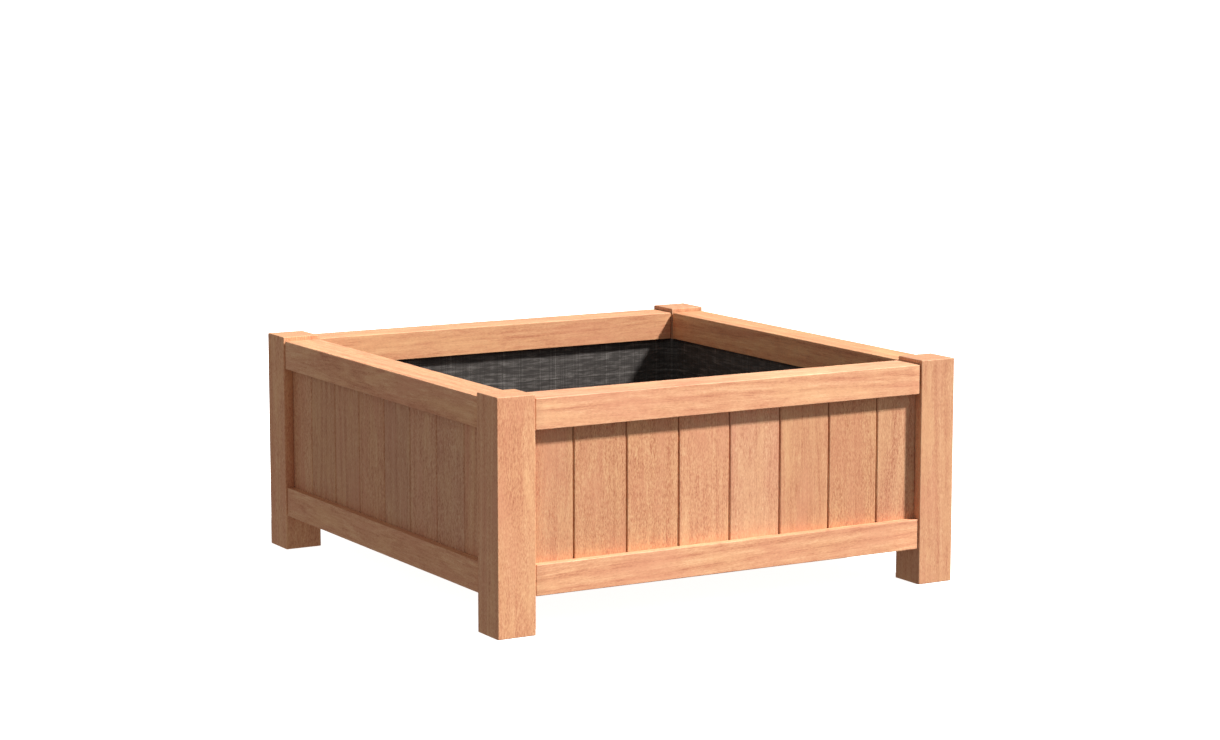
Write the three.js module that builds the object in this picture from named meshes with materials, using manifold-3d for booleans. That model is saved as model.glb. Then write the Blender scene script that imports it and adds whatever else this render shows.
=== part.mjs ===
// Square hardwood planter box: four corner posts, a top and a bottom frame of rails mortised into
// them, walls of tongue-and-groove boards housed in grooves, a slatted floor on two bearers and a
// woven liner. Millimetres, +Z up. Origin: centre of the footprint, on the ground. Front is -Y.
import * as THREE from 'three';
import { mergeVertices } from 'three/addons/utils/BufferGeometryUtils.js';
import Module from 'manifold-3d';

// ---- driving dimensions ----
const WIDTH = 900;             // outside of post to outside of post, both ways
const HEIGHT = 395;            // ground to post top
const POST = 70;               // square post section
const POST_ARRIS = 1;          // planed-off edge of the posts

const RAIL_HEIGHT = 52;
const RAIL_SETBACK = 2;        // rail face behind post face
const RAIL_ARRIS = 1;
const TOP_RAIL_TOP = 388;      // the posts stand 7 proud of it
const BOTTOM_RAIL_BOTTOM = 64; // clear height under the frame

const BOARD_SETBACK = 18;      // board face behind post face
const BOARD_THICK = 20;
const BOARD_PITCH = 100;       // joint line to joint line
const BOARD_GAP = 1.6;         // open joint between two boards
const BOARD_CHAMFER = 1.8;     // each side of the V joint
const TONGUE_THICK = 6;
const TONGUE_LENGTH = 8;
const BOARD_HOUSING = 12;      // depth of board ends in the rails
const EDGE_HOUSING = 10;       // depth of end boards in the posts

const TENON_LENGTH = 25;
const TENON_THICK = 20;
const TENON_SHOULDER = 6;      // below the rail's free face
const TENON_HAUNCH = 16;       // above the board groove's mouth
const TENON_OUTER = 438;       // outer cheek, from the box's centre line

const FLOOR_THICK = 18;
const FLOOR_COUNT = 8;
const FLOOR_GAP = 9;           // drainage gap between slats
const FLOOR_ARRIS = 1.5;
const FLOOR_SIDE_GAP = 1;

const BEARER = 45;             // square bearer section
const BEARER_OFFSET = 135;     // bearer centre line from the middle
const BEARER_HOUSING = 10;     // depth of bearer ends in the side rails
const BEARER_ARRIS = 1.5;

const LINER_WALL = 4;          // room that the loose fabric takes up
const LINER_BASE = 3;
const LINER_RECESS = 11.5;     // fabric face behind the rails' inner faces; it hangs from their undersides
const LINER_POST_GAP = 1.5;
const LINER_TOP_GAP = 2;       // under the top rails

const FIT = 0.3;               // clearance of every fitted joint

// ---- worked out from them ----
const half = WIDTH / 2;
const postInner = half - POST;
const railOuter = half - RAIL_SETBACK;
const topRailBottom = TOP_RAIL_TOP - RAIL_HEIGHT;
const bottomRailTop = BOTTOM_RAIL_BOTTOM + RAIL_HEIGHT;
const boardFace = half - BOARD_SETBACK;
const boardBack = boardFace - BOARD_THICK;
const boardBottom = bottomRailTop - BOARD_HOUSING;
const boardTop = topRailBottom + BOARD_HOUSING;
const tenonInner = TENON_OUTER - TENON_THICK;
const floorBottom = bottomRailTop + FIT;
const floorHalf = boardBack - FLOOR_SIDE_GAP;

const woods = {
  post: { color: 0xc08058, roughness: 0.62, metalness: 0 },
  rail: { color: 0xcc8c60, roughness: 0.6, metalness: 0 },
  board: { color: 0xb87850, roughness: 0.66, metalness: 0 },
  floor: { color: 0xa87048, roughness: 0.75, metalness: 0 },
  bearer: { color: 0xa06a44, roughness: 0.75, metalness: 0 },
};
const geotextile = { color: 0x1c1a18, roughness: 0.9, metalness: 0 };

// ---- solids ----
const wasm = await Module();
wasm.setup();

function solidOf(geometry) {
  geometry.deleteAttribute('normal');
  geometry.deleteAttribute('uv');
  const merged = mergeVertices(geometry, 1e-4);
  return new wasm.Manifold(new wasm.Mesh({
    numProp: 3,
    vertProperties: new Float32Array(merged.attributes.position.array),
    triVerts: new Uint32Array(merged.index.array),
  }));
}

function geometryOf(solid) {
  const mesh = solid.getMesh();
  const geometry = new THREE.BufferGeometry();
  geometry.setAttribute('position', new THREE.BufferAttribute(mesh.vertProperties, 3));
  geometry.setIndex(new THREE.BufferAttribute(mesh.triVerts, 1));
  geometry.computeVertexNormals();
  return geometry;
}

// A box between two corners.
function block([x0, y0, z0], [x1, y1, z1]) {
  const geometry = new THREE.BoxGeometry(x1 - x0, y1 - y0, z1 - z0);
  geometry.translate((x0 + x1) / 2, (y0 + y1) / 2, (z0 + z1) / 2);
  return solidOf(geometry);
}

// An outline in the ground plane, raised from z0 to z1.
function raised(points, z0, z1) {
  const shape = new THREE.Shape(points.map(([x, y]) => new THREE.Vector2(x, y)));
  const geometry = new THREE.ExtrudeGeometry(shape, { depth: z1 - z0, bevelEnabled: false });
  geometry.translate(0, 0, z0);
  return solidOf(geometry);
}

// A rectangle with its four corners cut off at 45 degrees.
function arrisedRectangle(x0, y0, x1, y1, arris) {
  return [
    [x0 + arris, y0], [x1 - arris, y0], [x1, y0 + arris], [x1, y1 - arris],
    [x1 - arris, y1], [x0 + arris, y1], [x0, y1 - arris], [x0, y0 + arris],
  ];
}

// A bar along X with arrised edges, given its section in Y and Z.
function barAlongX(x0, x1, [y0, z0], [y1, z1], arris) {
  const section = arrisedRectangle(y0, z0, y1, z1, arris).map(([y, z]) => new THREE.Vector2(y, z));
  const geometry = new THREE.ExtrudeGeometry(new THREE.Shape(section), { depth: x1 - x0, bevelEnabled: false });
  geometry.rotateX(Math.PI / 2).rotateZ(Math.PI / 2).translate(x0, 0, 0);
  return solidOf(geometry);
}

// ---- assembly helpers ----
const planter = new THREE.Group();

function addPiece(parent, name, solid, look) {
  const mesh = new THREE.Mesh(geometryOf(solid), new THREE.MeshStandardMaterial(look));
  mesh.name = name;
  parent.add(mesh);
}

function addTurnedGroup(quarterTurns) {
  const group = new THREE.Group();
  group.rotation.z = quarterTurns * Math.PI / 2;
  planter.add(group);
  return group;
}

// ---- corner posts ----
// Rail tenon heights: clear of the board grooves, with a haunch left between.
const tenonLevels = {
  top: [topRailBottom + TENON_HAUNCH, TOP_RAIL_TOP - TENON_SHOULDER],
  bottom: [BOTTOM_RAIL_BOTTOM + TENON_SHOULDER, bottomRailTop - TENON_HAUNCH],
};

// The mortises and the board groove that one wall needs in the post at its left end.
function postSockets() {
  const mortises = Object.values(tenonLevels).map(([z0, z1]) => block(
    [-postInner - TENON_LENGTH - FIT, -TENON_OUTER - FIT, z0 - FIT],
    [-postInner + 1, -tenonInner + FIT, z1 + FIT],
  ));
  const groove = block(
    [-postInner - EDGE_HOUSING - FIT, -boardFace - FIT, boardBottom - FIT],
    [-postInner + 1, -boardBack + FIT, boardTop + FIT],
  );
  return mortises.reduce((sum, mortise) => sum.add(mortise), groove);
}

// The front left post, in place.
function post() {
  const outline = arrisedRectangle(-half, -half, -postInner, -postInner, POST_ARRIS);
  const shape = new THREE.Shape(outline.map(([x, y]) => new THREE.Vector2(x, y)));
  const geometry = new THREE.ExtrudeGeometry(shape, {
    depth: HEIGHT - 2 * POST_ARRIS,
    bevelThickness: POST_ARRIS,
    bevelSize: POST_ARRIS,
    bevelOffset: -POST_ARRIS,
    bevelSegments: 1,
  });
  geometry.translate(0, 0, POST_ARRIS);
  const frontSockets = postSockets();
  const sideSockets = frontSockets.mirror([1, -1, 0]);
  return solidOf(geometry).subtract(frontSockets).subtract(sideSockets);
}

['front_left', 'front_right', 'back_right', 'back_left'].forEach((corner, quarterTurns) => {
  addPiece(addTurnedGroup(quarterTurns), `post_${corner}`, post(), woods.post);
});

// ---- rails ----
// A front rail, in place: level is top or bottom; bearerCentres are where bearers are let in.
function rail(level, bearerCentres) {
  const isTop = level === 'top';
  const z0 = isTop ? topRailBottom : BOTTOM_RAIL_BOTTOM;
  const z1 = z0 + RAIL_HEIGHT;
  const shoulder = postInner - FIT;
  const [tenonLow, tenonHigh] = tenonLevels[level];
  let solid = barAlongX(-shoulder, shoulder, [-railOuter, z0], [-postInner, z1], RAIL_ARRIS);
  solid = solid.add(block(
    [-postInner - TENON_LENGTH, -TENON_OUTER, tenonLow],
    [postInner + TENON_LENGTH, -tenonInner, tenonHigh],
  ));
  solid = solid.subtract(block(
    [-postInner - 1, -boardFace - FIT, isTop ? z0 - 1 : boardBottom - FIT],
    [postInner + 1, -boardBack + FIT, isTop ? boardTop + FIT : z1 + 1],
  ));
  for (const centre of bearerCentres) {
    const reach = BEARER / 2 + FIT;
    solid = solid.subtract(block(
      [centre - reach, -postInner - BEARER_HOUSING - FIT, z1 - BEARER - FIT],
      [centre + reach, -postInner + 1, z1 + 1],
    ));
  }
  return solid;
}

// ---- wall boards ----
// Plan outline of one board from joint line to joint line, its face towards -Y. Each edge is a
// tongue, a groove, or plain where the board is housed in a post.
function boardOutline(left, right, leftEdge, rightEdge) {
  const face = -boardFace;
  const back = -boardBack;
  const middle = (face + back) / 2;
  const tongue = TONGUE_THICK / 2;
  const slot = tongue + FIT;
  const slotDepth = TONGUE_LENGTH - BOARD_GAP + FIT;
  const x0 = leftEdge === 'plain' ? left : left + BOARD_GAP / 2;
  const x1 = rightEdge === 'plain' ? right : right - BOARD_GAP / 2;
  const points = [];
  points.push(...(leftEdge === 'plain'
    ? [[x0, face]]
    : [[x0, middle - slot], [x0, face + BOARD_CHAMFER], [x0 + BOARD_CHAMFER, face]]));
  points.push(...(rightEdge === 'plain'
    ? [[x1, face], [x1, back]]
    : [
      [x1 - BOARD_CHAMFER, face], [x1, face + BOARD_CHAMFER], [x1, middle - tongue],
      [x1 + TONGUE_LENGTH, middle - tongue], [x1 + TONGUE_LENGTH, middle + tongue],
      [x1, middle + tongue], [x1, back],
    ]));
  points.push([x0, back]);
  if (leftEdge === 'groove') {
    points.push([x0, middle + slot], [x0 + slotDepth, middle + slot], [x0 + slotDepth, middle - slot]);
  }
  return points;
}

function wallBoards() {
  const jointCount = Math.floor(2 * (postInner - 1) / BOARD_PITCH);
  const firstJoint = -(jointCount - 1) / 2 * BOARD_PITCH;
  const housed = postInner + EDGE_HOUSING;
  const boards = [];
  for (let index = 0; index <= jointCount; index += 1) {
    const isFirst = index === 0;
    const isLast = index === jointCount;
    const right = isLast ? housed : firstJoint + index * BOARD_PITCH;
    const left = isFirst ? -housed : firstJoint + (index - 1) * BOARD_PITCH;
    const outline = boardOutline(left, right, isFirst ? 'plain' : 'groove', isLast ? 'plain' : 'tongue');
    boards.push(raised(outline, boardBottom, boardTop));
  }
  return boards;
}

['front', 'right', 'back', 'left'].forEach((side, quarterTurns) => {
  const wall = addTurnedGroup(quarterTurns);
  const carriesBearers = side === 'left' || side === 'right';
  const bearerCentres = carriesBearers ? [-BEARER_OFFSET, BEARER_OFFSET] : [];
  addPiece(wall, `top_rail_${side}`, rail('top', []), woods.rail);
  addPiece(wall, `bottom_rail_${side}`, rail('bottom', bearerCentres), woods.rail);
  wallBoards().forEach((board, index) => {
    addPiece(wall, `wall_board_${side}_${index + 1}`, board, woods.board);
  });
});

// ---- floor ----
function bearer() {
  const reach = postInner + BEARER_HOUSING - FIT;
  const z0 = bottomRailTop - BEARER;
  return barAlongX(-reach, reach, [-BEARER / 2, z0], [BEARER / 2, bottomRailTop], BEARER_ARRIS);
}

for (const [name, y] of [['bearer_front', -BEARER_OFFSET], ['bearer_back', BEARER_OFFSET]]) {
  addPiece(planter, name, bearer().translate([0, y, 0]), woods.bearer);
}

// The room that the four posts take up inside the walls.
function postCorners(inner, z0, z1) {
  const corners = [];
  for (const x of [-1, 1]) {
    for (const y of [-1, 1]) {
      const low = [Math.min(x * inner, x * half), Math.min(y * inner, y * half), z0];
      const high = [Math.max(x * inner, x * half), Math.max(y * inner, y * half), z1];
      corners.push(block(low, high));
    }
  }
  return corners.reduce((sum, corner) => sum.add(corner));
}

// Slats run front to back, laid on the bottom rails; the outer two are notched round the posts.
function floorBoards() {
  const slatWidth = (2 * floorHalf - (FLOOR_COUNT - 1) * FLOOR_GAP) / FLOOR_COUNT;
  const top = floorBottom + FLOOR_THICK;
  const corners = postCorners(postInner - FIT, floorBottom - 1, top + 1);
  const boards = [];
  for (let index = 0; index < FLOOR_COUNT; index += 1) {
    const x0 = -floorHalf + index * (slatWidth + FLOOR_GAP);
    const bar = barAlongX(-floorHalf, floorHalf, [-x0 - slatWidth, floorBottom], [-x0, top], FLOOR_ARRIS);
    boards.push(bar.rotate([0, 0, 90]).subtract(corners));
  }
  return boards;
}

floorBoards().forEach((board, index) => {
  addPiece(planter, `floor_board_${index + 1}`, board, woods.floor);
});

// ---- liner ----
// An open fabric tray that hangs from under the top rails and steps round the posts.
function liner() {
  const inner = postInner + LINER_RECESS;
  const outer = inner + LINER_WALL;
  const postFace = postInner - LINER_POST_GAP;
  const z0 = floorBottom + FLOOR_THICK + FIT;
  const z1 = topRailBottom - LINER_TOP_GAP;
  const tray = block([-outer, -outer, z0], [outer, outer, z1]).subtract(postCorners(postFace, z0 - 1, z1 + 1));
  const low = z0 + LINER_BASE;
  const room = block([-inner, -inner, low], [inner, inner, z1 + 1])
    .subtract(postCorners(postFace - LINER_WALL, low - 1, z1 + 2));
  return tray.subtract(room);
}

addPiece(planter, 'liner', liner(), geotextile);

export default planter;
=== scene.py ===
"""The looks of a square hardwood planter box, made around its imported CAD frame.

Metres, +Z up, the front wall towards -Y. Each timber is a copy of its CAD solid with eased and
slightly worn edges, and a solid wood grain that runs along it. The liner is one sheet of woven
geotextile, folded into the box, with its hem turned out and stapled up under the top rails.
"""
import math
import random

import bmesh
import bpy
from mathutils import Matrix, Vector, noise


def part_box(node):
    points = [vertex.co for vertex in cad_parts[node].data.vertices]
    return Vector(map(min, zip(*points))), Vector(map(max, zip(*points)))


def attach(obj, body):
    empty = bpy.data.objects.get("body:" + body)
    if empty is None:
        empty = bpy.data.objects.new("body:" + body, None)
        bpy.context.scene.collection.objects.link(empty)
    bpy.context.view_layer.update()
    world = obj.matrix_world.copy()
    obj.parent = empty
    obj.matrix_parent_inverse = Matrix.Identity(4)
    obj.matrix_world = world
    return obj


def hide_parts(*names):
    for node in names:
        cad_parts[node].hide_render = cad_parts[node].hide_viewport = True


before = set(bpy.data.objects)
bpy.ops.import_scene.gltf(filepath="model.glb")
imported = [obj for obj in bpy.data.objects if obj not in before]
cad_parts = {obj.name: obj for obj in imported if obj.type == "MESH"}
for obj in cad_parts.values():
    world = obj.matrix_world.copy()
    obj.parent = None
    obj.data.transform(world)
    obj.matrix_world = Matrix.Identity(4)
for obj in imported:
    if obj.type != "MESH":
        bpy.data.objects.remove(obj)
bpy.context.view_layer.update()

SIDES = ("front", "right", "back", "left")      # each a quarter turn on from the one before
CORNERS = ("front_left", "front_right", "back_right", "back_left")

# ---- camera and studio ----
CAMERA_PLACE = (-2.652, -4.602, 1.126)
CAMERA_TURN = math.radians(30.13)      # looks this far from +Y towards +X
CAMERA_DIP = math.radians(8.315)
CAMERA_LENS = 88.35                    # mm
SENSOR_WIDTH = 36.0                    # mm
TO_KEY_LIGHT = (1.19, -1.0, 1.72)
KEY_STRENGTH = 6.85
KEY_SOFTNESS = math.radians(5.5)
PANEL_STRENGTH = 0.48                  # soft light from all round, fading towards the zenith
PANEL_FADE = 0.7                       # the share that is lost at the zenith
BOUNCE_STRENGTH = 0.31                 # light sent up by the floor
BACKDROP_STRENGTH = 1.0
FLOOR_SIZE = 2000.0
FLOOR_COLOUR = (0.86, 0.86, 0.855, 1.0)
FLOOR_GLOW = 0.93                      # bright enough to hide the planter's shadow, as in the photo
FLOOR_ROUGHNESS = 0.9
FLOOR_GLOSS = 0.1
WHITE = (1.0, 1.0, 1.0, 1.0)


def make_camera():
    data = bpy.data.cameras.new("camera")
    data.sensor_width = SENSOR_WIDTH
    data.lens = CAMERA_LENS
    data.clip_end = 2 * FLOOR_SIZE
    camera = bpy.data.objects.new("camera", data)
    camera.location = CAMERA_PLACE
    camera.rotation_euler = (math.pi / 2 - CAMERA_DIP, 0.0, -CAMERA_TURN)
    bpy.context.collection.objects.link(camera)
    bpy.context.scene.camera = camera


def make_lights():
    data = bpy.data.lights.new("key_light", "SUN")
    data.energy = KEY_STRENGTH
    data.angle = KEY_SOFTNESS
    key = bpy.data.objects.new("key_light", data)
    key.rotation_euler = (-Vector(TO_KEY_LIGHT)).to_track_quat("-Z", "Y").to_euler()
    bpy.context.collection.objects.link(key)
    bpy.context.scene.world = make_panels()
    bpy.context.scene.view_settings.view_transform = "Standard"


def make_panels():
    """Large white panels all round and the light off the floor, with a white backdrop to be seen."""
    world = bpy.data.worlds.new("studio")
    world.use_nodes = True
    g = Graph(world.node_tree)
    rise = g.parts(g.node("ShaderNodeTexCoord").outputs["Generated"])[2]
    fade = g.maths("MULTIPLY_ADD", g.maths("MULTIPLY", rise, rise), -PANEL_FADE, 1.0)
    panels = g.maths("MULTIPLY", fade, PANEL_STRENGTH)
    level = g.choice(g.maths("LESS_THAN", rise, 0.0), panels, BOUNCE_STRENGTH)
    background = world.node_tree.nodes["Background"]
    background.inputs["Color"].default_value = WHITE
    seen = g.node("ShaderNodeLightPath").outputs["Is Camera Ray"]
    g.put(background.inputs["Strength"], g.span(seen, 0.0, 1.0, level, BACKDROP_STRENGTH))
    return world


def make_floor():
    half = FLOOR_SIZE / 2
    corners = [(-half, -half, 0), (half, -half, 0), (half, half, 0), (-half, half, 0)]
    s = Shader("studio_floor")
    s.principled.inputs["Base Color"].default_value = FLOOR_COLOUR
    s.principled.inputs["Roughness"].default_value = FLOOR_ROUGHNESS
    s.principled.inputs["Specular IOR Level"].default_value = FLOOR_GLOSS
    s.principled.inputs["Emission Color"].default_value = WHITE
    s.principled.inputs["Emission Strength"].default_value = FLOOR_GLOW
    floor = make_object("studio_floor", corners, [(0, 1, 2, 3)], s.material)
    floor.visible_diffuse = False      # the studio's own bounce stands for its light
    floor.visible_glossy = False


def make_object(name, vertices, faces, material):
    mesh = bpy.data.meshes.new(name)
    mesh.from_pydata(vertices, [], faces)
    mesh.shade_smooth()
    mesh.materials.append(material)
    made = bpy.data.objects.new(name, mesh)
    bpy.context.collection.objects.link(made)
    return made


# ---- material building ----
class Graph:
    """A node tree, built up by short calls."""

    def __init__(self, tree):
        self.tree = tree

    def node(self, kind, **settings):
        made = self.tree.nodes.new(kind)
        for key, value in settings.items():
            setattr(made, key, value)
        return made

    def put(self, socket, value):
        """Links a socket to the input, or sets the input to a value."""
        if isinstance(value, bpy.types.NodeSocket):
            self.tree.links.new(value, socket)
        else:
            socket.default_value = value

    def fed(self, made, *values):
        """The node's first output, once its inputs have these values."""
        for socket, value in zip(made.inputs, values):
            self.put(socket, value)
        return made.outputs[0]

    def attribute(self, name):
        return self.node("ShaderNodeAttribute", attribute_type="GEOMETRY", attribute_name=name)

    def maths(self, operation, *values):
        return self.fed(self.node("ShaderNodeMath", operation=operation), *values)

    def vectors(self, operation, *values):
        return self.fed(self.node("ShaderNodeVectorMath", operation=operation), *values)

    def length(self, vector):
        made = self.node("ShaderNodeVectorMath", operation="LENGTH")
        self.put(made.inputs[0], vector)
        return made.outputs["Value"]

    def parts(self, vector):
        made = self.node("ShaderNodeSeparateXYZ")
        self.put(made.inputs[0], vector)
        return made.outputs[0], made.outputs[1], made.outputs[2]

    def joined(self, *values):
        return self.fed(self.node("ShaderNodeCombineXYZ"), *values)

    def noise(self, place, detail=2.0, roughness=0.5):
        """Noise of size 1 at a place, which is a vector."""
        made = self.node("ShaderNodeTexNoise")
        self.put(made.inputs["Vector"], place)
        made.inputs["Scale"].default_value = 1.0
        made.inputs["Detail"].default_value = detail
        made.inputs["Roughness"].default_value = roughness
        return made.outputs[0]

    def noise_along(self, place, detail=2.0):
        """Noise of size 1 along a line, at a place, which is a number."""
        made = self.node("ShaderNodeTexNoise", noise_dimensions="1D")
        self.put(made.inputs["W"], place)
        made.inputs["Scale"].default_value = 1.0
        made.inputs["Detail"].default_value = detail
        return made.outputs[0]

    def cells(self, place):
        made = self.node("ShaderNodeTexVoronoi")
        self.put(made.inputs["Vector"], place)
        made.inputs["Scale"].default_value = 1.0
        return made.outputs["Distance"]

    def chance(self, number):
        """A random number for each whole number."""
        made = self.node("ShaderNodeTexWhiteNoise", noise_dimensions="1D")
        self.put(made.inputs["W"], number)
        return made.outputs["Value"]

    def span(self, value, low, high, to_low=0.0, to_high=1.0):
        """The value's stretch from low to high, spread over to_low to to_high and held at its ends."""
        return self.fed(self.node("ShaderNodeMapRange", clamp=True), value, low, high, to_low, to_high)

    def ramp(self, value, stops):
        stops = list(stops)
        made = self.node("ShaderNodeValToRGB")
        elements = made.color_ramp.elements
        while len(elements) < len(stops):
            elements.new(0.5)
        for element, (place, colour) in zip(elements, stops):
            element.position = place
            element.color = (*colour, 1.0)
        return self.fed(made, value)

    def mix(self, factor, a, b, blend="MIX"):
        made = self.node("ShaderNodeMix", data_type="RGBA", blend_type=blend)
        colour_a, colour_b = (socket for socket in made.inputs if socket.type == "RGBA")
        self.put(made.inputs[0], factor)
        self.put(colour_a, a)
        self.put(colour_b, b)
        return next(socket for socket in made.outputs if socket.type == "RGBA")

    def choice(self, factor, a, b):
        """Number a where factor is 0 and b where it is 1."""
        return self.maths("MULTIPLY_ADD", factor, self.maths("SUBTRACT", b, a), a)

    def bump(self, height, distance, strength):
        made = self.node("ShaderNodeBump")
        self.put(made.inputs["Height"], height)
        made.inputs["Distance"].default_value = distance
        made.inputs["Strength"].default_value = strength
        return made.outputs["Normal"]


class Shader(Graph):
    """A material and its node tree."""

    def __init__(self, name):
        self.material = bpy.data.materials.new(name)
        self.material.use_nodes = True
        super().__init__(self.material.node_tree)
        self.principled = self.tree.nodes["Principled BSDF"]


# ---- wood ----
# Four shades of the same reddish hardwood, from open yellowish grain to dense red-brown streaks.
WOOD_SHADES = ((0.76, 0.435, 0.24), (0.67, 0.34, 0.182), (0.60, 0.272, 0.145), (0.47, 0.18, 0.095))
SHADE_STOPS = (0.0, 0.36, 0.68, 1.0)
PINK_WOOD = (0.655, 0.295, 0.17, 1.0)
GOLDEN_WOOD = (0.77, 0.44, 0.225, 1.0)
# Where the patches are pink and where golden: the stretch of their noise, and the share at its two ends
PINK_PATCHES = (0.50, 0.66, 0.0, 0.5)
GOLDEN_PATCHES = (0.34, 0.48, 0.4, 0.0)
CLOUD_STOPS = ((0.3, (0.42,) * 3), (0.7, (0.58,) * 3))
CLOUD_SHARE = 0.5
RIPPLE_SHARE = 0.35            # of the clouds; mottle makes up the rest
PORE_COLOUR = (0.26, 0.105, 0.05, 1.0)
PORE_SHARE = 0.35
END_GRAIN_COLOUR = (0.50, 0.25, 0.13, 1.0)
END_GRAIN_SHARE = 0.35
# Corners painted paler: partly wear, partly a painted highlight along the arrises
WORN_HIGHLIGHT_COLOUR = (0.80, 0.50, 0.30, 1.0)
WORN_HIGHLIGHT_SHARE = 0.18
# How far one step of a timber's tone and painted shade goes: its brightness, and for hue its red and its
# blue
TONE_AND_SHADE_STEP = 0.06
RED_STEP = 0.02
BLUE_STEP = -0.04
# Layers of the grain: waves per metre along it and across it, detail, roughness of the detail
GRAIN_LAYERS = {
    "wander": (1.6, 11.0, 2.0, 0.5),
    "streaks": (20.0, 210.0, 3.0, 0.6),
    "flecks": (170.0, 600.0, 3.0, 0.65),
    "fibres": (28.0, 900.0, 2.0, 0.5),
    "ripple": (70.0, 14.0, 2.0, 0.5),
    "patches": (5.0, 22.0, 3.0, 0.6),
    "mottle": (26.0, 75.0, 3.0, 0.6),
}
PORE_PITCH = (120.0, 1000.0, 1000.0)
PORE_RADIUS = (0.10, 0.30)     # a pore's inner and outer edge, as a share of its cell
RING_PITCH = 95.0              # growth rings per metre
RING_DETAIL = 3.0
LINE_PITCH = 520.0             # fine lines inside them
RING_WANDER = 0.030
FIGURE_SPAN = (0.38, 0.62)     # the part of the grain's light and dark that the shades spread over
STRAIGHT_FLECKS = 0.5          # straight wood has this share of a flecked board's flecks
EDGE_WEAR_HIGHLIGHT = 0.0032             # how far in from a corner the wood is painted pale, as wear and as a highlight
FULLY_WORN_HIGHLIT = 0.25              # the share of that width which is palest
PATCHY_WEAR_HIGHLIGHT = (0.35, 0.65)     # the stretch of the mottle over which the pale wear and highlight come and go
WOOD_GLOSS = 0.22
SHINE_SPREAD = (-0.07, 0.08)   # roughness of the lightest and of the darkest grain, from the mean
GRAIN_RELIEF = 0.0003
BUMP_STRENGTH = 0.35
FIBRE_RELIEF = 0.4             # share of the fibres in the relief; flecks make up the rest
PORE_RELIEF = -0.8
WOODS = {
    # slot: brightness, roughness, relief, and how much rings, streaks, fine lines and flecks show
    "post": (0.98, 0.56, 1.0, (0.16, 0.14, 0.22, 0.72)),
    "rail": (1.10, 0.54, 1.0, (0.20, 0.32, 0.25, 0.42)),
    "wall_board": (0.90, 0.58, 1.0, (0.16, 0.18, 0.24, 0.80)),
    "floor_board": (0.82, 0.74, 1.6, (0.24, 0.24, 0.30, 0.50)),
    "bearer": (0.78, 0.76, 1.6, (0.24, 0.24, 0.30, 0.50)),
}


def make_wood(slot):
    """Solid wood in the timber's own grain space: X along the grain, Y and Z away from the pith."""
    brightness, roughness, relief, shares = WOODS[slot]
    s = Shader(f"{slot}_hardwood")
    grain = s.attribute("grain").outputs["Vector"]
    tone_and_painted_shade, hue, straight = s.parts(s.attribute("tone_and_painted_shade").outputs["Vector"])
    layer = {}
    for name, (along, across, detail, rough) in GRAIN_LAYERS.items():
        layer[name] = s.noise(s.vectors("MULTIPLY", grain, (along, across, across)), detail, rough)

    figure = wood_figure(s, grain, layer, straight, shares)
    colour = s.ramp(s.span(figure, *FIGURE_SPAN), zip(SHADE_STOPS, WOOD_SHADES))
    colour = s.mix(s.span(layer["patches"], *PINK_PATCHES), colour, PINK_WOOD)
    colour = s.mix(s.span(layer["patches"], *GOLDEN_PATCHES), colour, GOLDEN_WOOD)
    cloud = s.choice(RIPPLE_SHARE, layer["mottle"], layer["ripple"])
    colour = s.mix(CLOUD_SHARE, colour, s.ramp(cloud, CLOUD_STOPS), "OVERLAY")
    pore = s.span(s.cells(s.vectors("MULTIPLY", grain, PORE_PITCH)), *PORE_RADIUS, 1.0, 0.0)
    colour = s.mix(s.maths("MULTIPLY", pore, PORE_SHARE), colour, PORE_COLOUR)
    end = s.attribute("end").outputs["Fac"]
    colour = s.mix(s.maths("MULTIPLY", end, END_GRAIN_SHARE), colour, END_GRAIN_COLOUR)
    # paler corners: wear and a painted highlight
    colour = s.mix(worn_highlit_corners(s, layer["mottle"]), colour, WORN_HIGHLIGHT_COLOUR)

    # the tone, which holds painted shade for some rails, makes the colour lighter or darker
    level = s.maths("MULTIPLY_ADD", tone_and_painted_shade, TONE_AND_SHADE_STEP, brightness)
    redder = s.maths("MULTIPLY_ADD", hue, RED_STEP, level)
    bluer = s.maths("MULTIPLY_ADD", hue, BLUE_STEP, level)
    colour = s.mix(1.0, colour, s.joined(redder, level, bluer), "MULTIPLY")
    s.put(s.principled.inputs["Base Color"], colour)
    shine = s.span(figure, *FIGURE_SPAN, *(roughness + spread for spread in SHINE_SPREAD))
    s.put(s.principled.inputs["Roughness"], shine)
    s.principled.inputs["Specular IOR Level"].default_value = WOOD_GLOSS
    height = s.choice(FIBRE_RELIEF, layer["flecks"], layer["fibres"])
    height = s.maths("MULTIPLY_ADD", pore, PORE_RELIEF, height)
    s.put(s.principled.inputs["Normal"], s.bump(height, GRAIN_RELIEF * relief, BUMP_STRENGTH))
    return s.material


def wood_figure(s, grain, layer, straight, shares):
    """The grain's light and dark, around 0.5: rings, streaks, fine lines, and flecks if not straight."""
    ring_share, streak_share, line_share, fleck_share = shares
    from_pith = s.length(s.vectors("MULTIPLY", grain, (0.0, 1.0, 1.0)))
    ring = s.maths("MULTIPLY_ADD", layer["wander"], RING_WANDER, from_pith)
    rings = s.noise_along(s.maths("MULTIPLY", ring, RING_PITCH), RING_DETAIL)
    lines = s.noise_along(s.maths("MULTIPLY", ring, LINE_PITCH))
    lines = s.choice(0.5, lines, layer["fibres"])
    fleck_share = s.span(straight, 0.0, 1.0, fleck_share, STRAIGHT_FLECKS * fleck_share)
    figure = 0.5
    parts = ((rings, ring_share), (layer["streaks"], streak_share), (lines, line_share))
    for part, share in (*parts, (layer["flecks"], fleck_share)):
        figure = s.maths("MULTIPLY_ADD", s.maths("SUBTRACT", part, 0.5), share, figure)
    return figure


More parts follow.
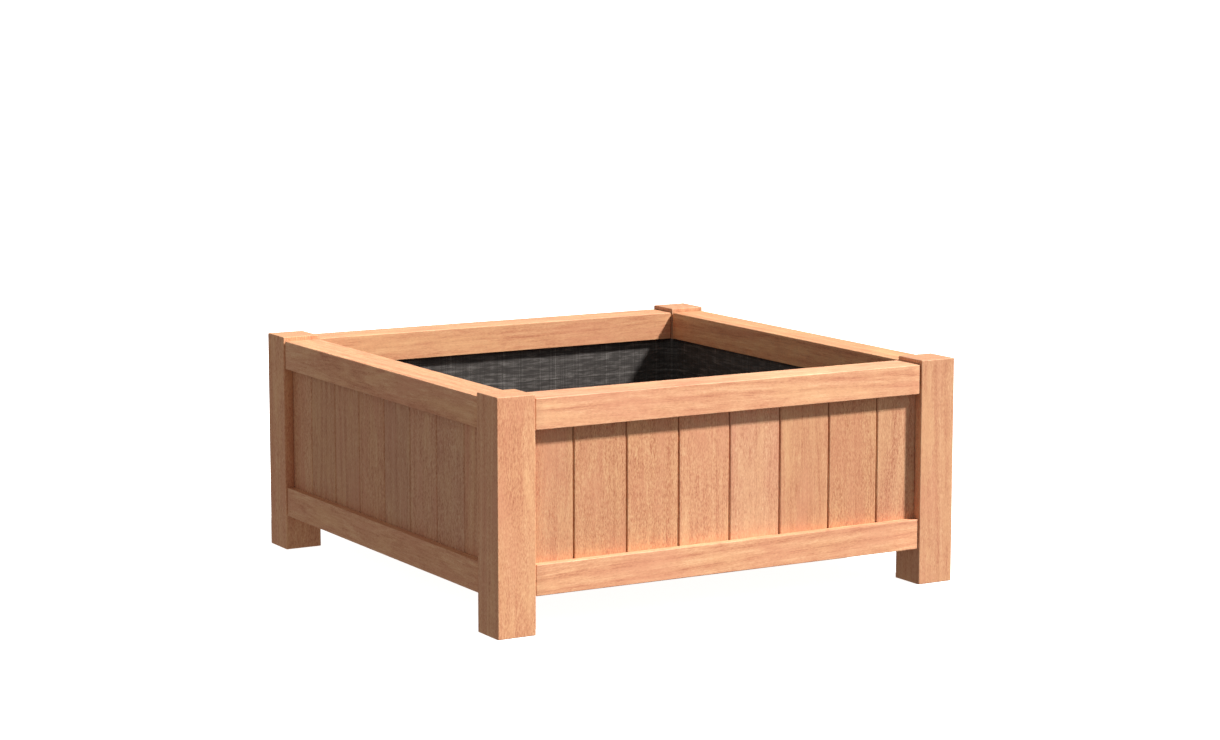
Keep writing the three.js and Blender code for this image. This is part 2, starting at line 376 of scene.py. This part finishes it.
def worn_highlit_corners(s, mottle):
    """How pale the corners are, rubbed by wear and with a painted highlight. A corner is where two of the
    timber's sides are near.
    """
    half = s.attribute("half_size").outputs["Vector"]
    from_middle = s.vectors("ABSOLUTE", s.attribute("place").outputs["Vector"])
    a, b, c = s.parts(s.vectors("SUBTRACT", half, from_middle))
    nearer, farther = s.maths("MINIMUM", a, b), s.maths("MAXIMUM", a, b)
    second = s.maths("MAXIMUM", nearer, s.maths("MINIMUM", farther, c))
    rubbed_highlit = s.span(second, FULLY_WORN_HIGHLIT * EDGE_WEAR_HIGHLIGHT, EDGE_WEAR_HIGHLIGHT, WORN_HIGHLIGHT_SHARE, 0.0)
    return s.maths("MULTIPLY", rubbed_highlit, s.span(mottle, *PATCHY_WEAR_HIGHLIGHT))


# ---- timbers ----
EASED_EDGE = 0.0004            # rounding left by sanding, added to the CAD arris
SHOULDER_SLOPE = 0.0028        # both ways, round a rail's ends
SLICE_LENGTH = 0.045           # the timbers are cut across at this pitch, so that they can wear
WEAR_DEPTH = 0.00028
WEAR_PITCH = 14                # waves per metre of the wear
MERGE_DISTANCE = 1e-6
FLAT_ANGLE = math.radians(0.5)     # faces closer to flat than this are one face of the CAD solid
SHARP = math.radians(20)
SMOOTH_ANGLE = math.radians(40)
NEAR_SIDE = 0.0025
LONG_EDGE = 0.8                # an edge over this share of the timber's length is one of its long corners
END_FACING = 0.8               # a face turned this far along the timber is end grain
GRAIN_TILT = 1.6               # degrees that the grain may run out of line
PITH_DISTANCE = (0.05, 0.16)
PITH_REACH = 20                # metres either way along the grain from which a timber may be cut
BOARD_NUMBERS = range(1, 9)
# The timbers that the photo shows best: tone, lighter or darker (+ or -), hue, warmer or cooler (+ or -),
# and flecked (0) or straight (1) grain. The darker, redder rails at the back and sides carry painted shade.
CHOSEN_TONES_AND_PAINTED_SHADE = {
    "post_front_left": (0.4, 0.5, 0.3),
    "post_front_right": (-0.2, -0.2, 0.7),
    "top_rail_front": (0.2, -0.6, 0.6),
    # back, left and right rails: set darker and redder as painted shade and painted reddish bounce light
    "top_rail_back": (-2.3, 1.0, 0.5),
    "top_rail_left": (-1.5, 1.0, 0.5),
    "top_rail_right": (-2.2, 2.5, 0.5),
    "bottom_rail_left": (-1.7, 1.2, 0.5),
    "bottom_rail_front": (-0.2, -0.2, 0.4),
    "wall_board_front_1": (-0.5, 0.2, 0.6),
    "wall_board_front_2": (-0.7, 0.8, 0.1),
    "wall_board_front_3": (-0.1, 0.8, 0.0),
    "wall_board_front_4": (1.2, 0.0, 0.3),
    "wall_board_front_5": (1.6, -1.2, 0.5),
    "wall_board_front_6": (0.0, 0.4, 0.9),
    "wall_board_front_7": (-0.6, 0.9, 0.0),
    "wall_board_front_8": (0.2, -0.2, 0.1),
}
AXES = {"x": Vector((1, 0, 0)), "y": Vector((0, 1, 0)), "z": Vector((0, 0, 1))}


def clean_copy(node):
    """The CAD solid with its flat faces whole again."""
    bm = bmesh.new()
    bm.from_mesh(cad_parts[node].data)
    bmesh.ops.remove_doubles(bm, verts=bm.verts, dist=MERGE_DISTANCE)
    bmesh.ops.dissolve_limit(bm, angle_limit=FLAT_ANGLE, verts=bm.verts, edges=bm.edges)
    return bm


def cut_at(bm, place, direction):
    """Cuts the mesh's faces where a plane meets them, and takes nothing away."""
    geometry = bm.verts[:] + bm.edges[:] + bm.faces[:]
    bmesh.ops.bisect_plane(bm, geom=geometry, dist=MERGE_DISTANCE, plane_co=place, plane_no=direction)


def cut_shoulders(bm, axis, low, high):
    """Cuts a small slope all round a rail's shoulders, which leaves a V joint beside the post."""
    direction = AXES[axis]
    middle = (low + high) / 2
    sides = [i for i in range(3) if not direction[i]]
    for way in (-1, 1):
        ring = [v for v in bm.verts if any(beside(v.co, low, high, i) for i in sides)]
        shoulder = max(way * (v.co - middle).dot(direction) for v in ring)
        place = middle + direction * way * (shoulder - SHOULDER_SLOPE)
        cut_at(bm, place, direction)
        for vert in ring:
            if way * (vert.co - middle).dot(direction) > shoulder - SHOULDER_SLOPE / 2:
                for i in sides:
                    vert.co[i] += SHOULDER_SLOPE * beside(vert.co, low, high, i)


def beside(place, low, high, i):
    """Which way is inward, 1 or -1, for a place on a side of the timber, and 0 for any other."""
    return (place[i] - low[i] < NEAR_SIDE) - (high[i] - place[i] < NEAR_SIDE)


def ease_corners(bm, axis, low, high):
    """Rounds the timber's long corners and those of its open ends."""
    direction = AXES[axis]
    length = (high - low).dot(direction)
    corners = []
    for edge in bm.edges:
        if len(edge.link_faces) != 2 or not edge.is_convex or edge.calc_face_angle(0) < SHARP:
            continue
        run = edge.verts[1].co - edge.verts[0].co
        middle = (edge.verts[0].co + edge.verts[1].co) / 2
        sides = sum(beside(middle, low, high, i) != 0 for i in range(3))
        if abs(run.dot(direction)) > LONG_EDGE * length or sides >= 2:
            corners.append(edge)
    bmesh.ops.bevel(
        bm, geom=corners, offset=EASED_EDGE, segments=2, profile=0.5, affect="EDGES", clamp_overlap=True,
    )


def slice_across(bm, axis, low, high):
    direction = AXES[axis]
    start, stop = low.dot(direction), high.dot(direction)
    count = max(1, round((stop - start) / SLICE_LENGTH))
    for index in range(1, count):
        place = direction * (start + (stop - start) * index / count)
        cut_at(bm, place, direction)


def wear(bm, axis, seed):
    """Draws each point in by a little, more where a slow noise is high. Cut ends stay square."""
    direction = AXES[axis]
    bm.normal_update()
    moves = []
    for vert in bm.verts:
        inward = -vert.normal
        inward -= inward.dot(direction) * direction
        amount = 0.5 + 0.5 * noise.noise(vert.co * WEAR_PITCH + Vector((seed, 0, 0)))
        moves.append((vert, inward * amount * WEAR_DEPTH))
    for vert, move in moves:
        vert.co += move


def grain_frame(axis, centre, draw):
    """Turns places into grain space: a pith some way off, slightly out of line with the timber."""
    rows = {"x": (0, 1, 2), "y": (1, 2, 0), "z": (2, 0, 1)}[axis]
    turned = Matrix([[float(column == row) for column in range(3)] for row in rows])
    tilt = Matrix.Rotation(math.radians(draw.uniform(-GRAIN_TILT, GRAIN_TILT)), 3, "Y")
    tilt = tilt @ Matrix.Rotation(math.radians(draw.uniform(-GRAIN_TILT, GRAIN_TILT)), 3, "Z")
    around = draw.uniform(0, 2 * math.pi)
    away = draw.uniform(*PITH_DISTANCE)
    along = draw.uniform(-PITH_REACH, PITH_REACH)
    pith = Vector((along, away * math.cos(around), away * math.sin(around)))
    return lambda place: tilt @ (turned @ (place - centre)) + pith


def note_points(mesh, name, vectors):
    """Stores one vector for each of the mesh's points, for the materials to read."""
    layer = mesh.attributes.new(name, "FLOAT_VECTOR", "POINT")
    for index, vector in enumerate(vectors):
        layer.data[index].vector = vector


def add_timber(node, axis, slot, material):
    """Puts an eased, worn and grained timber in place of a CAD node. Its name seeds its random draws."""
    draw = random.Random(node)
    low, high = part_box(node)
    bm = clean_copy(node)
    if slot == "rail":
        cut_shoulders(bm, axis, low, high)
    ease_corners(bm, axis, low, high)
    slice_across(bm, axis, low, high)
    wear(bm, axis, draw.uniform(0, 100))
    mesh = bpy.data.meshes.new(f"{node}.timber")
    bm.to_mesh(mesh)
    bm.free()

    centre = (low + high) / 2
    to_grain = grain_frame(axis, centre, draw)
    drawn = (draw.uniform(-1, 1), draw.uniform(-1, 1), draw.random())
    tone_and_painted_shade = CHOSEN_TONES_AND_PAINTED_SHADE.get(node, drawn)
    points = [vert.co.copy() for vert in mesh.vertices]
    note_points(mesh, "grain", [to_grain(point) for point in points])
    note_points(mesh, "tone_and_painted_shade", [tone_and_painted_shade] * len(points))
    note_points(mesh, "place", [point - centre for point in points])
    note_points(mesh, "half_size", [(high - low) / 2] * len(points))
    ends = mesh.attributes.new("end", "FLOAT", "FACE")
    for index, face in enumerate(mesh.polygons):
        ends.data[index].value = 1.0 if abs(face.normal.dot(AXES[axis])) > END_FACING else 0.0

    mesh.shade_smooth()
    mesh.set_sharp_from_angle(angle=SMOOTH_ANGLE)
    mesh.materials.append(material)
    timber = bpy.data.objects.new(f"{node}.timber", mesh)
    bpy.context.collection.objects.link(timber)
    shading = timber.modifiers.new("flat_faces_stay_flat", "WEIGHTED_NORMAL")
    shading.keep_sharp = True
    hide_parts(node)
    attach(timber, "root")


def add_timbers():
    woods = {slot: make_wood(slot) for slot in WOODS}
    for corner in CORNERS:
        add_timber(f"post_{corner}", "z", "post", woods["post"])
    for side in SIDES:
        along = "x" if side in ("front", "back") else "y"
        for level in ("top", "bottom"):
            add_timber(f"{level}_rail_{side}", along, "rail", woods["rail"])
        for number in BOARD_NUMBERS:
            add_timber(f"wall_board_{side}_{number}", "z", "wall_board", woods["wall_board"])
    for number in BOARD_NUMBERS:
        add_timber(f"floor_board_{number}", "y", "floor_board", woods["floor_board"])
    for name in ("bearer_front", "bearer_back"):
        add_timber(name, "x", "bearer", woods["bearer"])


# ---- liner ----
CLOTH_THICK = 0.0009
CLOTH_STEP = 0.009             # mesh pitch of the sheet
CLOTH_STAND = 0.0038           # face of the cloth in from the outside of its CAD solid
POST_CLEARANCE = 0.0022
CORNER_REACH = 0.003           # a point this near to both faces of a post belongs to its corner
HEM_WIDTH = 0.012              # turned out under the top rails
HEM_ROWS = 3
HEM_RUN_OUT = 0.012            # beside a post the hem runs out over this length
TOP_CLEARANCE = 0.0004
FLOOR_CLEARANCE = 0.0016
SMOOTHING = (0.5, 3)           # strength and passes: rounds the folds
SLACK_DEPTH = 0.04             # the slack sets in over about this depth below the hem
# Slack in the sheet: depth, waves per metre sideways and upwards, place in the noise
CLOTH_WAVES = ((0.0028, 13, 4, 3), (0.0012, 34, 21, 8), (0.0016, 5, 26, 5))
FLOOR_WAVES = ((0.0016, 9, 9, 2), (0.0010, 27, 27, 6))
LYING = 0.75                   # a face whose normal is this steep lies on the floor
TAPE_WIDTH = 0.0021            # the flat tapes that the geotextile is woven from
TAPE_SHARE = 0.20              # how much each tape's own shade shows
WEFT_SEED = 700.0              # keeps the weft's shades apart from the warp's
WARP_PITCH = 300.0             # waves per metre of the lighter and darker warp
WARP_SHARE = 0.40
# Lighter streaks on the cloth: partly dust, partly a painted sheen of light on its creases
DUST_AND_SHEEN_PITCH = (24.0, 170.0, 0.0)
DUST_AND_SHEEN_DETAIL = (5.0, 0.72)      # detail and roughness
DUST_AND_SHEEN_SPAN = (0.42, 0.70)
DUST_AND_SHEEN_SHARE = 0.60
TRACER_PITCH = 0.113           # lighter tapes woven in as a grid
TRACER_START = (0.012, 0.275)
TRACER_EDGE = (0.4, 0.8)       # the stretch over which a tracer fades out, in tapes from its middle
TRACER_SHARE = 0.36
BROKEN_SPAN = (0.36, 0.60)     # the stretch of the dust and painted sheen over which the tracers come and go
LINER_SHADES = ((0.032, 0.027, 0.024), (0.059, 0.051, 0.046), (0.18, 0.163, 0.149))
LINER_STOPS = (0.1, 0.45, 1.0)
TAPE_GAP = (0.0, 0.02, 0.55, 1.0)      # the stretch from a gap to the tape's face, and the shade at its ends
LINER_ROUGHNESS = 0.6
LINER_GLOSS = 0.25
TAPE_RELIEF = (0.0004, 0.5)    # height of the tapes and strength of the bump


def cloth_grid(face, post_face):
    """Grid places from wall to wall, with the posts' faces among them, and the count beside a post."""
    beside_post = max(1, round((face - post_face) / CLOTH_STEP))
    between = round(2 * post_face / CLOTH_STEP)
    edge = [post_face + (face - post_face) * step / beside_post for step in range(1, beside_post + 1)]
    middle = [-post_face + 2 * post_face * step / between for step in range(between + 1)]
    return [-place for place in reversed(edge)] + middle + edge, beside_post


def wall_ring(last, beside_post):
    """The grid's outline, anticlockwise, stepping in round each post."""
    inner = last - beside_post
    quarter = [(last, j) for j in range(beside_post, inner + 1)]
    quarter += [(i, inner) for i in range(last - 1, inner - 1, -1)]
    quarter += [(inner, j) for j in range(inner + 1, last)]
    ring = []
    for turns in range(4):
        for i, j in quarter:
            for _ in range(turns):
                i, j = last - j, i
            ring.append((i, j))
    return ring


def waves(place, table):
    """Slack of the sheet at a place."""
    total = 0.0
    for depth, sideways, upwards, seed in table:
        spot = Vector((place.x * sideways, place.y * sideways, place.z * upwards + seed))
        total += depth * noise.noise(spot)
    return total


def cloth_mesh(face, post_face, bottom, top):
    """The sheet's points and faces: a floor, walls that rise from its outline, and a hem turned out."""
    places, beside_post = cloth_grid(face, post_face)
    last = len(places) - 1
    points, faces, number = [], [], {}
    for j, y in enumerate(places):
        for i, x in enumerate(places):
            if beside_post <= i <= last - beside_post or beside_post <= j <= last - beside_post:
                number[i, j] = len(points)
                points.append(Vector((x, y, bottom)))
    for j in range(last):
        for i in range(last):
            corners = ((i, j), (i + 1, j), (i + 1, j + 1), (i, j + 1))
            if all(corner in number for corner in corners):
                faces.append([number[corner] for corner in corners])

    ring = wall_ring(last, beside_post)
    outline = [Vector((places[i], places[j])) for i, j in ring]
    rows = round((top - bottom) / CLOTH_STEP)
    below = [number[spot] for spot in ring]
    for row in range(1, rows + HEM_ROWS + 1):
        above = []
        for index, spot in enumerate(outline):
            ahead = (outline[(index + 1) % len(outline)] - outline[index - 1]).normalized()
            hem = min(max((post_face - min(abs(spot.x), abs(spot.y))) / HEM_RUN_OUT, 0.0), 1.0)
            out = hem * HEM_WIDTH * max(row - rows, 0) / HEM_ROWS
            climb = hem * min(row / rows, 1.0) + (1 - hem) * row / (rows + HEM_ROWS)
            height = bottom + (top - bottom) * climb
            above.append(len(points))
            points.append(Vector((spot.x + ahead.y * out, spot.y - ahead.x * out, height)))
        for index in range(len(ring)):
            beside = (index + 1) % len(ring)
            faces.append((below[beside], below[index], above[index], above[beside]))
        below = above
    return points, faces


def slacken(bm, bottom, top):
    """Lets the walls billow a little below the hem, and the floor rise in low folds off the boards."""
    bm.normal_update()
    moves = []
    for vert in bm.verts:
        place = vert.co
        loose = 1 - math.exp(-(top - place.z) / SLACK_DEPTH)
        if place.z > bottom:
            level = Vector((vert.normal.x, vert.normal.y, 0))
            moves.append((vert, level * waves(place, CLOTH_WAVES) * loose))
        else:
            moves.append((vert, Vector((0, 0, max(waves(place, FLOOR_WAVES), 0.0)))))
    for vert, move in moves:
        vert.co += move
    strength, passes = SMOOTHING
    inside = [vert for vert in bm.verts if not vert.is_boundary]
    for _ in range(passes):
        bmesh.ops.smooth_vert(
            bm, verts=inside, factor=strength, use_axis_x=True, use_axis_y=True, use_axis_z=True,
        )


def keep_clear(bm, post_face, bottom):
    """Moves any point that the smoothing has drawn into a post or into the floor back out of it.

    A point at a post's corner is moved both ways, or the next face would cut across the corner.
    """
    for vert in bm.verts:
        place = vert.co.copy()
        nearer = min(abs(place.x), abs(place.y))
        if nearer > post_face:
            for i in (0, 1):
                if abs(place[i]) < nearer + CORNER_REACH:
                    vert.co[i] = math.copysign(post_face, place[i])
        vert.co.z = max(place.z, bottom)


def add_liner():
    post_face = -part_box("post_front_left")[1].x
    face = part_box("liner")[1].x - CLOTH_STAND
    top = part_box("top_rail_front")[0].z - TOP_CLEARANCE
    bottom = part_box("floor_board_1")[1].z + FLOOR_CLEARANCE
    points, faces = cloth_mesh(face, post_face - POST_CLEARANCE, bottom, top)
    cloth = make_object("liner_cloth", points, faces, make_geotextile())
    bm = bmesh.new()
    bm.from_mesh(cloth.data)
    slacken(bm, bottom, top)
    keep_clear(bm, post_face - CLOTH_THICK - TOP_CLEARANCE, bottom)
    bm.to_mesh(cloth.data)
    bm.free()
    lay_weave(cloth.data)
    body = cloth.modifiers.new("cloth_thickness", "SOLIDIFY")
    body.thickness = CLOTH_THICK
    body.offset = -1.0
    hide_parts("liner")
    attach(cloth, "root")
    return cloth, face, top


def lay_weave(mesh):
    """Puts the weave's own two directions, in metres, on every face as a UV map."""
    layer = mesh.uv_layers.new(name="weave")
    for face in mesh.polygons:
        normal = face.normal
        flat = abs(normal.z) > LYING
        across = abs(normal.y) >= abs(normal.x)
        for loop in face.loop_indices:
            x, y, z = mesh.vertices[mesh.loops[loop].vertex_index].co
            layer.data[loop].uv = (x, y) if flat else (x if across else y, z)


def make_geotextile():
    """Black polypropylene tapes in a plain weave, each its own shade, with lighter streaks of dust and
    painted sheen, and lighter tracers.
    """
    s = Shader("liner_geotextile")
    uv = s.node("ShaderNodeUVMap", uv_map="weave").outputs["UV"]
    u, v, _ = s.parts(uv)
    tape_u, tape_v = s.maths("DIVIDE", u, TAPE_WIDTH), s.maths("DIVIDE", v, TAPE_WIDTH)
    index_u, index_v = s.maths("FLOOR", tape_u), s.maths("FLOOR", tape_v)
    over = s.maths("FLOORED_MODULO", s.maths("ADD", index_u, index_v), 2.0)
    crown_u, crown_v = s.maths("PINGPONG", tape_u, 0.5), s.maths("PINGPONG", tape_v, 0.5)

    # lighter streaks: dust and a painted sheen
    dust_and_sheen = s.noise(s.vectors("MULTIPLY", uv, DUST_AND_SHEEN_PITCH), *DUST_AND_SHEEN_DETAIL)
    broken = s.span(dust_and_sheen, *BROKEN_SPAN)
    light = s.choice(over, s.chance(index_u), s.chance(s.maths("ADD", index_v, WEFT_SEED)))
    light = s.maths("MULTIPLY", light, TAPE_SHARE)
    warp = s.noise_along(s.maths("MULTIPLY", u, WARP_PITCH))
    light = s.maths("MULTIPLY_ADD", warp, WARP_SHARE, light)
    light = s.maths("MULTIPLY_ADD", s.span(dust_and_sheen, *DUST_AND_SHEEN_SPAN), DUST_AND_SHEEN_SHARE, light)
    for along, start in zip((u, v), TRACER_START):
        near = s.maths("PINGPONG", s.maths("SUBTRACT", along, start), TRACER_PITCH / 2)
        tracer = s.span(near, *(TAPE_WIDTH * edge for edge in TRACER_EDGE), TRACER_SHARE, 0.0)
        light = s.maths("MULTIPLY_ADD", tracer, broken, light)
    colour = s.ramp(light, zip(LINER_STOPS, LINER_SHADES))
    gap = s.span(s.maths("MULTIPLY", crown_u, crown_v), *TAPE_GAP)
    colour = s.mix(1.0, colour, s.joined(gap, gap, gap), "MULTIPLY")
    s.put(s.principled.inputs["Base Color"], colour)
    s.principled.inputs["Roughness"].default_value = LINER_ROUGHNESS
    s.principled.inputs["Specular IOR Level"].default_value = LINER_GLOSS
    rounded = [s.maths("SQRT", s.maths("MULTIPLY", crown, 2.0)) for crown in (crown_u, crown_v)]
    s.put(s.principled.inputs["Normal"], s.bump(s.choice(over, *rounded), *TAPE_RELIEF))
    return s.material


# ---- staples ----
STAPLES_PER_SIDE = 8
STAPLE_REACH = 0.33            # the outermost ones are this far from the middle of the side
STAPLE_CROWN = 0.0105
STAPLE_LEG = 0.008
STAPLE_BEND = 0.0012
STAPLE_WIRE = 0.0006           # radius
WIRE_SIDES = 8
ROUND_CORNER = 0.3             # how far the middle of a bend is in from its two sides, in bends
ZINC_PITCH = 900.0
ZINC_DETAIL = 3.0
ZINC_SHADES = ((0.3, (0.42, 0.42, 0.41)), (0.7, (0.66, 0.66, 0.64)))
ZINC_ROUGHNESS = (0.3, 0.7, 0.3, 0.5)      # the stretch of the noise, and the roughness at its ends


def make_staple_metal():
    s = Shader("staple_metal")
    place = s.node("ShaderNodeTexCoord").outputs["Object"]
    bloom = s.noise(s.vectors("MULTIPLY", place, (ZINC_PITCH,) * 3), ZINC_DETAIL)
    s.put(s.principled.inputs["Base Color"], s.ramp(bloom, ZINC_SHADES))
    s.put(s.principled.inputs["Roughness"], s.span(bloom, *ZINC_ROUGHNESS))
    s.principled.inputs["Metallic"].default_value = 1.0
    return s.material


def staple_rings(middle, along):
    """Rings of points round one staple's bent wire: a flat crown under the hem and two legs up."""
    up = Vector((0, 0, 1))
    side = along.cross(up)
    half, bend = STAPLE_CROWN / 2, STAPLE_BEND
    corner = ROUND_CORNER * bend
    route = [(-half, STAPLE_LEG), (-half, bend), (-half + corner, corner), (-half + bend, 0.0)]
    route += [(-x, z) for x, z in reversed(route)]
    points = [middle + along * x + up * z for x, z in route]
    rings = []
    for index, point in enumerate(points):
        behind, ahead = points[max(index - 1, 0)], points[min(index + 1, len(points) - 1)]
        outward = (ahead - behind).normalized().cross(side)
        turns = [part / WIRE_SIDES * 2 * math.pi for part in range(WIRE_SIDES)]
        rings.append([point + (side * math.cos(t) + outward * math.sin(t)) * STAPLE_WIRE for t in turns])
    return rings


def add_staples(face, top):
    material = make_staple_metal()
    made = []
    for turns, side in enumerate(SIDES):
        quarter = Matrix.Rotation(turns * math.pi / 2, 3, "Z")
        points, faces = [], []
        for number in range(STAPLES_PER_SIDE):
            x = STAPLE_REACH * (2 * number / (STAPLES_PER_SIDE - 1) - 1)
            middle = Vector((x, -face - HEM_WIDTH / 2, top - CLOTH_THICK - STAPLE_WIRE))
            rings = staple_rings(quarter @ middle, quarter @ Vector((1, 0, 0)))
            start = len(points)
            points += [point for ring in rings for point in ring]
            for row in range(len(rings) - 1):
                for part in range(WIRE_SIDES):
                    a = start + row * WIRE_SIDES + part
                    b = start + row * WIRE_SIDES + (part + 1) % WIRE_SIDES
                    faces.append((a, b, b + WIRE_SIDES, a + WIRE_SIDES))
            faces.append(tuple(range(start + WIRE_SIDES - 1, start - 1, -1)))
            faces.append(tuple(range(len(points) - WIRE_SIDES, len(points))))
        staples = make_object(f"liner_staples_{side}", points, faces, material)
        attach(staples, "root")
        made.append(staples)
    return made


make_camera()
make_lights()
make_floor()
add_timbers()
liner, liner_face, liner_top = add_liner()
liner_staples = add_staples(liner_face, liner_top)
